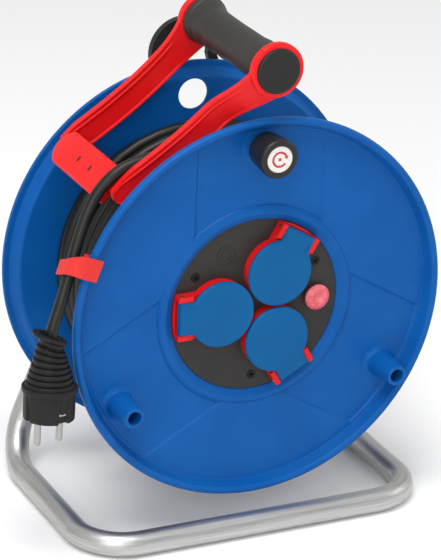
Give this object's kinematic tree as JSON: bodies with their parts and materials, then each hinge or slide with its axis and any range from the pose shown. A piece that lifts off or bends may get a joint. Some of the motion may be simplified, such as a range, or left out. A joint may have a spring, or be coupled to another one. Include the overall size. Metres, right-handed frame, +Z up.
{
  "type": "extension cord reel",
  "caption": "Free-standing cord reel: a drum of rubber cable on a bent tube frame, with lidded sockets, a winding knob, a carrying grip and a cable guide.",
  "frame": {"origin": "on the floor, under the middle of the bounding box of the reel without its cable and plug", "axes": "+Z up, +Y towards the back along the drum's axis, +X to the right as seen from the front with the sockets"},
  "size_m": [0.3275, 0.191, 0.374],
  "materials": {
    "galvanised_tube": "satin",
    "black_plastic": "satin",
    "zinc_steel": "satin",
    "spring_steel": "satin",
    "white_plastic": "matte",
    "ivory_plastic": "matte",
    "grip_rubber": "matte",
    "red_plastic": "satin",
    "blue_plastic": "satin",
    "lid_plastic": "satin",
    "seal_rubber": "matte",
    "black_screw": "satin",
    "brass": "satin",
    "pink_button": "satin",
    "white_label": "satin",
    "cable_rubber": "matte",
    "plug_rubber": "matte",
    "plug_nickel": "satin"
  },
  "bodies": {
    "root": {"tube_frame": "galvanised_tube", "rear_bracket": "black_plastic", "bracket_cover": "black_plastic", "bracket_screws": "zinc_steel", "axle": "zinc_steel", "thrust_washer": "white_plastic", "axle_washer": "zinc_steel", "axle_circlip": "spring_steel", "grip_bolt": "zinc_steel", "grip_nut": "zinc_steel", "grip_sleeve": "grip_rubber", "grip_cap": "black_plastic", "guide_rear": "red_plastic", "guide_front": "red_plastic", "cable_lead": "cable_rubber", "plug_body": "plug_rubber", "plug_sleeve": "plug_rubber", "plug_pins": "plug_nickel", "plug_earth_strips": "plug_nickel", "cable_clip": "red_plastic"},
    "drum": {"drum_front": "blue_plastic", "drum_rear": "blue_plastic", "drum_screws": "zinc_steel", "hub_bushes": "ivory_plastic", "cable_gland": "black_plastic", "plate_gasket": "seal_rubber", "socket_plate": "black_plastic", "plate_screws": "black_screw", "socket_1": "red_plastic", "socket_2": "red_plastic", "socket_3": "red_plastic", "contact_sleeves": "brass", "earth_clips": "spring_steel", "terminal_block": "ivory_plastic", "thermal_cutout": "black_plastic", "button_spring": "spring_steel", "lid_pins": "brass", "lid_springs": "spring_steel", "knob_pin": "zinc_steel", "knob_washer": "zinc_steel", "cable_winding": "cable_rubber"},
    "knob": {"knob": "black_plastic", "knob_label": "white_label"},
    "lid_1": {"lid_1": "lid_plastic", "lid_seal_1": "seal_rubber"},
    "lid_2": {"lid_2": "lid_plastic", "lid_seal_2": "seal_rubber"},
    "lid_3": {"lid_3": "lid_plastic", "lid_seal_3": "seal_rubber"},
    "button": {"reset_button": "pink_button"}
  },
  "joints": [
    {"name": "drum_spin", "type": "hinge", "parent": "root", "child": "drum", "pos_m": [0, -0.0025, 0.171], "axis": [0, -1, 0], "continuous": true},
    {"name": "knob_spin", "type": "hinge", "parent": "drum", "child": "knob", "pos_m": [0, -0.0775, 0.292], "axis": [0, -1, 0], "continuous": true},
    {"name": "lid_1_hinge", "type": "hinge", "parent": "drum", "child": "lid_1", "pos_m": [-0.06, -0.066, 0.171], "axis": [0, 0, -1], "range_deg": [0, 110], "stiffness_Nm_per_rad": 0.012, "springref_deg": -45.84},
    {"name": "lid_2_hinge", "type": "hinge", "parent": "drum", "child": "lid_2", "pos_m": [0.03, -0.066, 0.22296], "axis": [-0.866, 0, 0.5], "range_deg": [0, 110], "stiffness_Nm_per_rad": 0.012, "springref_deg": -45.84},
    {"name": "lid_3_hinge", "type": "hinge", "parent": "drum", "child": "lid_3", "pos_m": [0.03, -0.066, 0.11904], "axis": [0.866, 0, 0.5], "range_deg": [0, 110], "stiffness_Nm_per_rad": 0.012, "springref_deg": -45.84},
    {"name": "reset_button_push", "type": "slide", "parent": "drum", "child": "button", "axis": [0, 1, 0], "range_m": [0, 0.002], "stiffness_N_per_m": 500, "springref_m": -0.002, "deforming": ["button_spring"]}
  ]
}
